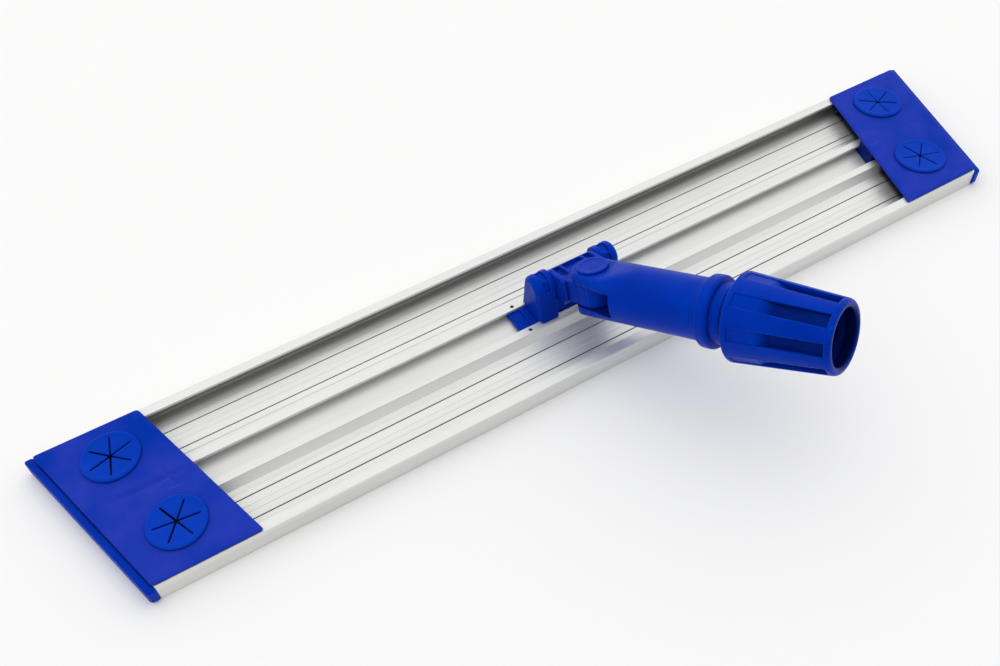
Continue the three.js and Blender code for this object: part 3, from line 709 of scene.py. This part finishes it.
def petals(name, profile, under, slit_end, turn, widths):
    """Six petals of one revolved outline, parted by slits that end at the radius slit_end."""
    outline = profile + under
    slit_pairs = [(i, len(outline) - 1 - i) for i in range(8)]
    across = [0, 0.012, 0.035, 0.09, 0.2, 0.35, 0.5, 0.65, 0.8, 0.91, 0.965, 0.988, 1]
    columns, rows, sector = len(across), len(outline), math.pi / 3
    vertices, faces = [], []
    lifts = [chance.uniform(-0.10, 0.16) for _ in range(6)]
    for s in range(6):
        first = len(vertices)
        for row, (radius, height) in enumerate(outline):
            fade = min(1.0, max(0.0, (slit_end - radius) / 0.9))
            gap_a, gap_b = (math.asin(min(0.9, width * math.sqrt(fade) / radius))
                            for width in (widths[s], widths[(s + 1) % 6]))
            inner = max(0.0, 1 - radius / slit_end)
            for t in across:
                angle = turn + s * sector + gap_a + t * (sector - gap_a - gap_b)
                # The upper face rolls down into each slit, and each petal has sprung up a little.
                nearness = min(t, 1 - t) * radius * sector
                drop = 0.26 * math.exp(-nearness / 0.25) * min(1, inner * 12) * (row < len(profile))
                lift = lifts[s] * inner * (math.sin(math.pi * t) + 0.10 * (t - 0.5))
                x, y = radius * math.cos(angle), radius * math.sin(angle)
                vertices.append((x, y, height - drop + lift))
        for i in range(rows):
            below = (i + 1) % rows
            for j in range(columns - 1):
                a, b = first + i * columns + j, first + below * columns + j
                faces.append((a, b, b + 1, a + 1))
        for (top_a, low_a), (top_b, low_b) in zip(slit_pairs, slit_pairs[1:]):
            for j in (0, columns - 1):
                faces.append(tuple(first + i * columns + j for i in (top_a, top_b, low_b, low_a)))
    return welded(mesh_from(name, vertices, faces, Matrix.Identity(4)), 0.004)


def add_ring(mesh, section, count=72):
    """Adds a closed (radius, height) section, revolved about Z."""
    bm = bmesh.new()
    bm.from_mesh(mesh)
    rings = []
    for k in range(count):
        a = k * math.tau / count
        rings.append([bm.verts.new((r * math.cos(a), r * math.sin(a), z)) for r, z in section])
    for k in range(count):
        one, two = rings[k], rings[(k + 1) % count]
        for i in range(len(section)):
            j = (i + 1) % len(section)
            bm.faces.new((one[i], one[j], two[j], two[i]))
    bmesh.ops.recalc_face_normals(bm, faces=bm.faces)
    bm.to_mesh(mesh)
    bm.free()


def star_disc(name, node, turn, widths):
    """A soft disc: six petals, on a neck with a barb below the plate."""
    low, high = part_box(node)
    centre = (low + high) / 2 / MM
    top, seat, slit_end = DISC_TOP, PLATE_TOP + 0.25, 12.6
    profile = [  # (radius, height) from the centre hole out over the rim and down its side
        (1.15, top - 0.62), (1.9, top - 0.42), (3.2, top - 0.34), (5.5, top - 0.30), (8, top - 0.26),
        (10.3, top - 0.24), (11.9, top - 0.22), (12.6, top - 0.20), (13.1, top - 0.12),
        (13.6, top - 0.02), (14.1, top), (14.6, top - 0.04), (15.05, top - 0.20), (15.4, top - 0.48),
        (15.62, top - 0.85), (DISC_R, seat + 0.12), (DISC_R - 0.12, seat),
    ]
    under = [  # and back to the hole below
        (13.25, seat), (13.1, top - 1.9), (slit_end, top - 1.95), (11.9, top - 2.0),
        (10.3, top - 2.0), (8, top - 2.0), (5.5, top - 2.0), (3.2, top - 2.0), (1.9, top - 1.95),
        (1.15, top - 1.8),
    ]
    neck = [
        (11.6, top - 1.9), (13.0, top - 1.9), (13.0, 11.7), (13.9, 11.6), (13.6, 10.5), (11.6, 10.2),
    ]
    mesh = petals(name, profile, under, slit_end, turn, widths)
    add_ring(mesh, neck)
    mesh.transform(BASE @ Matrix.Translation((centre.x, centre.y, 0)))
    piece(name, mesh, SOFT_BLUE, "frame", [node], 50)


for side in (1, -1):
    end_bar(side)
    grip_plate(side)

THIN, WIDE = 0.26, 0.52
star_disc("disc_right_back", "star_grip_right_back", 0.35, [THIN, THIN, WIDE, THIN, THIN, WIDE])
star_disc("disc_right_front", "star_grip_right_front", 0.71, [THIN, WIDE, THIN, THIN, WIDE, THIN])
star_disc("disc_left_back", "star_grip_left_back", 0.28, [0.50, 0.42, 0.54, 0.56, 0.54, 0.44])
star_disc("disc_left_front", "star_grip_left_front", 0.92, [0.48, 0.56, 0.50, 0.58, 0.44, 0.54])

# ---- universal joint ------------------------------------------------------------------------------


def joint_foot():
    """The slide plate in the channel, with its two ears."""
    ear_in, ear_out, ear_r, ear_base = 15.2, 27.6, 8.0, 10.4
    seat = RAIL_TOP + 0.3

    def field(p):
        x, y, z = p
        ax, ay = np.abs(x), np.abs(y)
        slide = box((ax, ay, z), (-1, -1, 2.2), (38.4, 11, 5.5), 0.35)
        neck = box((ax, ay, z), (-1, -1, 4.5), (31, 7.45, 6.7), 0.3)
        riser = box((ax, ay, z), (-1, -1, 5), (ear_out - 0.5, 7.45, seat + 0.8), 0.3)
        # The ear: sides that lean into a round top about the tilt axis.
        lean = math.asin((ear_base - ear_r) / (TILT_HEIGHT - seat))
        sides = (ay * math.cos(lean) + (z - TILT_HEIGHT) * math.sin(lean)) - ear_r
        stem = meet(sides, z - TILT_HEIGHT)
        plan = join(length(y, z - TILT_HEIGHT) - ear_r, stem)
        flare = np.maximum(0, 1 - (z - seat) / 5.0) ** 2
        plan = meet(plan - 0.5 * flare, seat - z, 0.4)
        inner_face, outer_face = ear_in - ax, ax - ear_out
        # The outer face is a flat D inside a broad chamfer.
        chamfer = (plan + outer_face + 1.9) * ROOT_HALF
        ear = meet(meet(plan, outer_face, 0.5), chamfer, 0.6)
        ear = meet(ear, inner_face, 0.7)
        # Two recesses in the top, parted by a rib.
        top = TILT_HEIGHT + ear_r
        pocket = box((ax, ay, z), (18.6, -3.4, top - 1.5), (22.8, 3.4, top + 5), 0.3)
        slotted = box((ax, ay, z), (18.9, 4.6, TILT_HEIGHT + 1), (22.4, 20, top + 5), 0.4)
        shelf = length(y, z - TILT_HEIGHT) - (ear_r - 1.2)
        ear = cut(ear, meet(slotted, -shelf, 0.2), 0.35)
        ear = cut(ear, pocket, 0.35)
        body = join(join(slide, neck, 0.3), join(riser, ear, 0.8), 0.4)
        bore = drum(length(y, z - TILT_HEIGHT), ax, TILT_PIN_R + 0.1, -1, ear_out - 4)
        return cut(body, bore, 0.2)

    low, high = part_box("joint_foot")
    mesh = moulded("foot_moulding", field, low / MM, high / MM, 0.36, BASE)
    piece("foot_moulding", mesh, BLUE, "frame", ["joint_foot"])


def tilt_axle():
    """The steel pin through the ears and the knuckle, with a chamfer at each end."""
    half, chamfer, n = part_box("tilt_pin")[1].x / MM, 0.5, 48
    outline = [(0, -half), (TILT_PIN_R - chamfer, -half), (TILT_PIN_R, chamfer - half)]
    outline += [(r, -x) for r, x in reversed(outline)]
    vertices, faces = [], []
    for k in range(n):
        a = k * math.tau / n
        vertices += [(x, r * math.cos(a), TILT_HEIGHT + r * math.sin(a)) for r, x in outline]
    m = len(outline)
    for k in range(n):
        one, two = k * m, ((k + 1) % n) * m
        faces += [(one + i, one + i + 1, two + i + 1, two + i) for i in range(m - 1)]
    mesh = welded(mesh_from("tilt_axle", vertices, faces))
    piece("tilt_axle", mesh, STEEL, "frame", ["tilt_pin"], 30)


def knuckle():
    """The piece between the ears: a barrel about the tilt axis, and a tongue for the fork."""
    half, tongue_r, tongue_half = 14.8, 11.3, 6.6

    def field(p):
        x, y, z = p
        ax = np.abs(x)
        reach = length(x, y + ARM_LENGTH)
        side = [(3.5, 4.6), (-1.5, 7.4), (-20, 6.6), (-20, -6.6),
                (-16, -6.6), (-12, -10.5), (-6, -10.5), (2, -5.6)]
        flank = meet(polygon(y, z, side), ax - half, 0.9)
        flank = cut(flank, reach - 16.4, 0.8)
        barrel = drum(length(y, z), x, 6.2, -half, half, 0.5)
        width = np.interp(-y, [0, 11, ARM_LENGTH - 2, ARM_LENGTH], [half, half, tongue_r, tongue_r])
        taper = meet(ax - width, np.maximum(-y - ARM_LENGTH, y), 0.3)
        tongue = meet(join(reach - tongue_r, taper, 1.0), np.abs(z) - tongue_half, 0.7)
        body = join(join(flank, tongue, 1.0), barrel, 0.6)
        for pocket_in, pocket_out in ((-1.0, 6.3), (7.7, 12.2)):
            pocket = box((ax, y, z), (pocket_in, -12, 4.4), (pocket_out, 0.5, 20), 0.5)
            body = cut(body, pocket, 0.35)
        body = cut(body, length(y, z) - (TILT_PIN_R + 0.1), 0.15)
        return cut(body, reach - (SWING_PIN_R + 0.1), 0.3)

    mesh = moulded("knuckle_moulding", field, (-15, -37.6, -11), (15, 6.5, 8), 0.34, ARM)
    piece("knuckle_moulding", mesh, BLUE, "knuckle", ["knuckle"])


def socket():
    """The fork, tube, collar, neck and thread, bored for the handle."""
    tube_r, collar_r, neck_r = 16.3, 19.0, 15.9
    collar_start, collar_end, neck_end, thread_end = 70.0, 76.8, 82.4, 104.0

    def field(p):
        x, y, z = p
        s = -y
        radial = length(x, z)
        tube = drum(radial, s, tube_r, -17, collar_start + 1)
        # Plan of the fork: a round end that widens into the tube.
        ax = np.abs(x)
        width = 12.4 + np.maximum(s - 5, -9) * 0.3
        wedge = meet((ax - width) * 0.958, 2 - s, 1)
        plan = join(length(x, y) - 12.0, wedge, 3.0)
        body = meet(tube, plan, 1.1)
        # Flat pads above and below, each rising out to the round tube.
        upper = z - (12.8 + np.maximum(0, s - 10) * 0.225)
        lower = -z - (14.4 + np.maximum(0, s - 10) * 0.13)
        body = meet(meet(body, upper, 1.3), lower, 1.3)
        step = drum(radial, s, 17.3, collar_start - 2.2, collar_start + 2, 0.4)
        collar = drum(radial, s, collar_r, collar_start, collar_end, 0.9)
        bevel = (radial + s - (collar_r + collar_end - 1.4)) * ROOT_HALF
        collar = meet(collar, bevel, 0.5)
        body = join(body, join(step, collar, 0.35), 0.5)
        body = join(body, drum(radial, s, neck_r, 60, neck_end, 0.2), 0.4)
        # Thread: a trapezoid ridge wound round the neck.
        phase = (s / THREAD_PITCH - np.arctan2(x, z) / math.tau) % 1.0
        crest = np.clip((0.32 - np.abs(phase - 0.5)) / 0.14, 0, 1)
        thread = drum(radial, s, THREAD_R, 70, thread_end, 0.5)
        thread = thread + 0.9 * (1 - crest) * (s > neck_end + 0.8)
        # The ridge's sides make this field too steep, hence 0.8.
        body = join(body, thread * 0.8)
        slot = box((x, s, z), (-60, -60, -SLOT_HALF), (60, SLOT_DEPTH, SLOT_HALF), 0.5)
        body = cut(body, slot, 0.4)
        body = cut(body, drum(length(x, y), z, SWING_PIN_R + 0.3, -30, 30), 0.2)
        body = cut(body, drum(length(x, y), z, 8.3, -30, -12.6), 0.25)
        bore = drum(radial, s, HANDLE_R, 38, 130, 0.6)
        return cut(body, bore, 0.4)

    mesh = moulded("socket_moulding", field, (-19.3, -104.3, -19.3), (19.3, 13, 19.3), 0.52, SOCKET)
    piece("socket_moulding", mesh, SOCKET_BLUE, "socket", ["socket_body"])


def swing_pin():
    """The pin through the fork, with a dished head on top."""
    head_r, head_base, head_top, dish_depth = 8.8, 13.1, 14.2, 0.22

    def field(p):
        x, y, z = p
        r = length(x, y)
        dish = dish_depth * (1 - smooth_step(r, 5.6, 7.2))
        head = drum(r, z + dish, head_r, head_base, head_top, 0.45)
        ring = 0.12 * mound(r, 3.1, 0.35)
        head = meet(head, z - (head_top - dish - ring))
        return join(head, drum(r, z, SWING_PIN_R, -12.6, 13.4, 0.4), 0.3)

    mesh = moulded("pin_head", field, (-9, -9, -13), (9, 9, 14.4), 0.3, SOCKET)
    piece("pin_head", mesh, BLUE, "socket", ["swing_pin"])


def pin_washer():
    """The cap at the pin's lower end, with a cross for a driver."""
    slot_long, slot_half = 3.4, 0.6

    def field(p):
        x, y, z = p
        disc = drum(length(x, y), z, 8.0, -14.4, -12.9, 0.35)
        one = box((x, y, z), (-slot_long, -slot_half, -16), (slot_long, slot_half, -13.9))
        other = box((x, y, z), (-slot_half, -slot_long, -16), (slot_half, slot_long, -13.9))
        return cut(disc, join(one, other), 0.2)

    mesh = moulded("pin_washer", field, (-8.2, -8.2, -14.6), (8.2, 8.2, -12.7), 0.25, SOCKET)
    piece("pin_washer", mesh, BLUE, "socket", ["swing_pin_cap"])


def collet():
    """The split sleeve inside the nut."""
    def field(p):
        x, y, z = p
        s = -y
        radial = length(x, z)
        sleeve = meet(radial - COLLET_R, HANDLE_R - radial, 0.3)
        sleeve = meet(sleeve, span(s, COLLET_START, COLLET_START + COLLET_LENGTH), 0.3)
        split = box((x, z, s), (0, -1.9, 0), (40, 1.9, 300), 0.2)
        return cut(sleeve, split, 0.3)

    mesh = moulded("collet_sleeve", field, (-14.6, -131.4, -14.6), (14.6, -105.6, 14.6), 0.36, SOCKET)
    piece("collet_sleeve", mesh, DARK_BLUE, "collet", ["clamp_collet"])


def grip_nut():
    """The clamping nut: a cone with grip panels, each turning into a deep groove."""
    panels, turn, panel_half = 8, math.radians(11), 3.55
    sector = math.tau / panels
    fall = (NUT_BIG_R - NUT_SMALL_R) / (NUT_END - NUT_START)
    slope_start, slope_end = NUT_START + 18.5, NUT_START + 25.5
    thread_room, collet_room, mouth_r = THREAD_R + 0.4, COLLET_R + 0.45, 14.3

    def field(p):
        x, y, z = p
        s = -y
        radial = length(x, z)
        outer_r = NUT_BIG_R - fall * (s - NUT_START)
        shell = meet(radial - outer_r, NUT_START + 1.5 - s, 0.2)
        chamfer = (radial - s - (NUT_BIG_R - NUT_START - 2.4)) * ROOT_HALF
        shell = meet(shell, chamfer, 0.35)
        front = (radial + s - (NUT_SMALL_R + NUT_END - 1.1)) * ROOT_HALF
        shell = meet(meet(shell, front, 0.5), s - NUT_END, 0.5)
        # Grip panels, folded into one sector.
        angle = (np.arctan2(x, z) - turn + sector / 2) % sector - sector / 2
        u, v = np.abs(radial * np.sin(angle)), radial * np.cos(angle)
        depth = np.interp(s, [NUT_START, slope_start, slope_end, NUT_END], [0.75, 0.85, 3.7, 2.9])
        groove = meet((outer_r - depth) - v, u - panel_half, 0.25)
        groove = meet(groove, span(s, NUT_START + 4.6, NUT_END - 2.9), 0.3)
        shell = cut(shell, groove, 0.25)
        lip = drum(radial, s, 20.4, NUT_START, NUT_START + 4, 0.4)
        shell = join(shell, lip, 0.25)
        # Bore: threaded, then the collet's room, then the mouth.
        bore = join(drum(radial, s, thread_room, 60, COLLET_START),
                    drum(radial, s, collet_room, 90, 133.5))
        mouth = drum(radial, s, mouth_r, 110, 160)
        flare = (radial - s - (mouth_r - NUT_END + 1.0)) * ROOT_HALF
        return cut(shell, join(join(bore, mouth), meet(flare, s - 150)), 0.35)

    mesh = moulded("nut_moulding", field, (-23.4, -139.8, -23.4), (23.4, -79.2, 23.4), 0.45, SOCKET)
    piece("nut_moulding", mesh, NUT_BLUE, "nut", ["grip_nut"])


joint_foot()
tilt_axle()
knuckle()
socket()
swing_pin()
pin_washer()
collet()
grip_nut()

# ---- floor, light and camera --------------------------------------------------------------------


def floor():
    """A sheet of white paper, just below the frame so that the two faces never coincide."""
    reach, drop = 9.0, 0.0002
    look = Look("paper_floor")
    look.colour(look.mix(look.noise(3, 2), (0.925, 0.925, 0.92), (0.935, 0.935, 0.93)))
    look.set(Roughness=0.9, Specular_IOR_Level=0.1)
    corners = [(-reach, -reach, 0), (reach, -reach, 0), (reach, reach, 0), (-reach, reach, 0)]
    mesh = mesh_from("paper", corners, [(0, 1, 2, 3)], Matrix.Identity(4))
    mesh.materials.append(look.material)
    sheet = bpy.data.objects.new("paper", mesh)
    sheet.location.z = -drop
    bpy.context.scene.collection.objects.link(sheet)


def sky():
    """White light from all round, stronger from above and behind."""
    world = bpy.data.worlds.new("studio")
    bpy.context.scene.world = world
    world.use_nodes = True
    tree = world.node_tree
    background = tree.nodes["Background"]
    place = tree.nodes.new("ShaderNodeTexCoord")
    bright = tree.nodes.new("ShaderNodeVectorMath")
    bright.operation = "DOT_PRODUCT"
    bright.inputs[1].default_value = Vector((0.12, 0.42, 0.90)).normalized()
    lift = tree.nodes.new("ShaderNodeMapRange")
    lift.interpolation_type = "SMOOTHSTEP"
    for key, number in (("From Min", -0.50), ("From Max", 0.80), ("To Min", 0.36), ("To Max", 1.08)):
        lift.inputs[key].default_value = number
    tree.links.new(place.outputs["Generated"], bright.inputs[0])
    tree.links.new(bright.outputs["Value"], lift.inputs["Value"])
    tree.links.new(lift.outputs["Result"], background.inputs["Strength"])
    background.inputs["Color"].default_value = (1, 1, 1, 1)


def area_light(name, position, target, size, power):
    """A square light at position that points at target."""
    data = bpy.data.lights.new(name, "AREA")
    data.shape, data.size, data.energy = "SQUARE", size, power
    made = bpy.data.objects.new(name, data)
    made.location = position
    made.rotation_mode = "QUATERNION"
    made.rotation_quaternion = (Vector(target) - Vector(position)).to_track_quat("-Z", "Y")
    bpy.context.scene.collection.objects.link(made)


def camera():
    """The photo's camera, as fitted to the frame, the discs, the pin and the nut's mouth."""
    data = bpy.data.cameras.new("camera")
    data.lens, data.sensor_width = 36.66, 36.0
    data.clip_start, data.clip_end = 0.01, 20
    made = bpy.data.objects.new("camera", data)
    elevation, azimuth, roll = math.radians(49.988), math.radians(28.031), math.radians(-3.5105)
    forward = Vector((
        math.sin(azimuth) * math.cos(elevation),
        math.cos(azimuth) * math.cos(elevation),
        -math.sin(elevation),
    ))
    level = forward.cross(Vector((0, 0, 1))).normalized()
    above = level.cross(forward)
    right = level * math.cos(roll) + above * math.sin(roll)
    up = right.cross(forward)
    place = Matrix((right, up, -forward)).transposed().to_4x4()
    place.translation = (-0.223046, -0.328424, 0.446683)
    made.matrix_world = place
    bpy.context.scene.collection.objects.link(made)
    bpy.context.scene.camera = made


floor()
sky()
area_light("overhead", (0.3, 0.9, 4.0), (0, 0, 0), size=6.0, power=19.0)
camera()
bpy.context.scene.view_settings.view_transform = "Standard"
